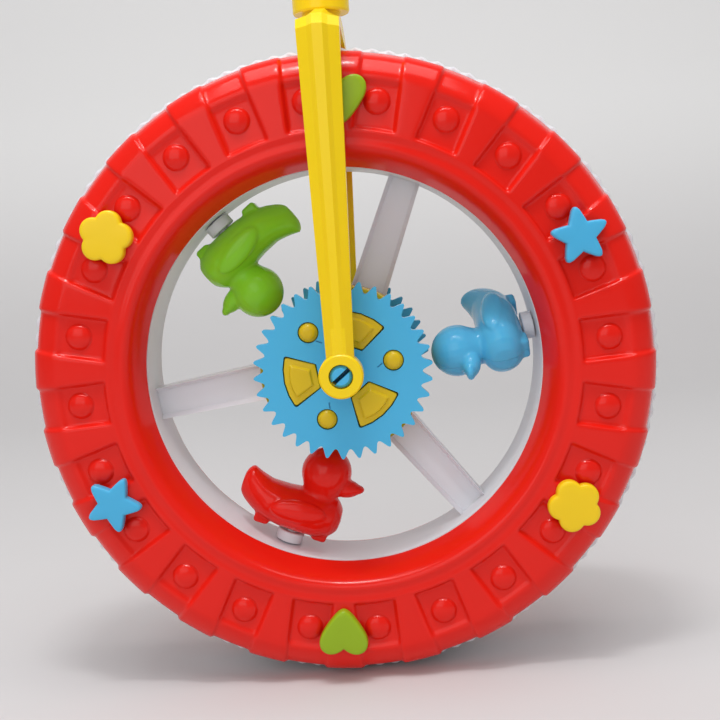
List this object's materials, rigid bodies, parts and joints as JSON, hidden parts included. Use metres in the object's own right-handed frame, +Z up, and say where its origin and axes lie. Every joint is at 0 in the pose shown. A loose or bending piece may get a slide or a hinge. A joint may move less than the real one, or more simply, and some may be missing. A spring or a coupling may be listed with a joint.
{
  "type": "wheeled push toy",
  "caption": "Push-along toy: a large spoked wheel with badges on its covers, toothed hub caps and spinning ducks inside, turning in a fork on a long pole with a grip.",
  "frame": {"origin": "on the floor under the middle of the wheel, at the land of the tread that the wheel stands on", "axes": "+Z up along the pole, Y along the axle with the front cover towards -Y, X across the wheel"},
  "size_m": [0.2, 0.069, 0.5909],
  "materials": {
    "red_plastic": "glossy",
    "blue_plastic": "glossy",
    "yellow_plastic": "glossy",
    "green_plastic": "glossy",
    "white_plastic": "glossy",
    "grip_plastic": "satin"
  },
  "bodies": {
    "handle": {"fork": "yellow_plastic", "pole_lower": "yellow_plastic", "pole_coupling": "yellow_plastic", "pole_upper": "yellow_plastic", "grip": "grip_plastic", "grip_cap": "blue_plastic"},
    "wheel": {"wheel_core": "white_plastic", "cover_front": "red_plastic", "hub_front": "yellow_plastic", "gear_front": "blue_plastic", "heart_a_front": "green_plastic", "heart_b_front": "green_plastic", "star_a_front": "blue_plastic", "star_b_front": "blue_plastic", "flower_a_front": "yellow_plastic", "flower_b_front": "yellow_plastic", "cover_rear": "red_plastic", "hub_rear": "yellow_plastic", "gear_rear": "blue_plastic", "heart_a_rear": "green_plastic", "heart_b_rear": "green_plastic", "star_a_rear": "blue_plastic", "star_b_rear": "blue_plastic", "flower_a_rear": "yellow_plastic", "flower_b_rear": "yellow_plastic", "duck_post_green": "white_plastic", "duck_post_blue": "white_plastic", "duck_post_red": "white_plastic"},
    "duck_green": {"duck_green_left": "green_plastic", "duck_green_right": "green_plastic"},
    "duck_blue": {"duck_blue_left": "blue_plastic", "duck_blue_right": "blue_plastic"},
    "duck_red": {"duck_red_left": "red_plastic", "duck_red_right": "red_plastic"}
  },
  "joints": [
    {"name": "wheel_spin", "type": "hinge", "parent": "handle", "child": "wheel", "pos_m": [0, 0, 0.09999], "axis": [0, 1, 0], "continuous": true},
    {"name": "duck_blue_spin", "type": "hinge", "parent": "wheel", "child": "duck_blue", "pos_m": [0.06223, 0, 0.10918], "axis": [-0.9893, 0, -0.1461], "continuous": true},
    {"name": "duck_green_spin", "type": "hinge", "parent": "wheel", "child": "duck_green", "pos_m": [-0.03907, 0, 0.14929], "axis": [0.6211, 0, -0.7837], "continuous": true},
    {"name": "duck_red_spin", "type": "hinge", "parent": "wheel", "child": "duck_red", "pos_m": [-0.02315, 0, 0.04151], "axis": [0.3681, 0, 0.9298], "continuous": true}
  ]
}
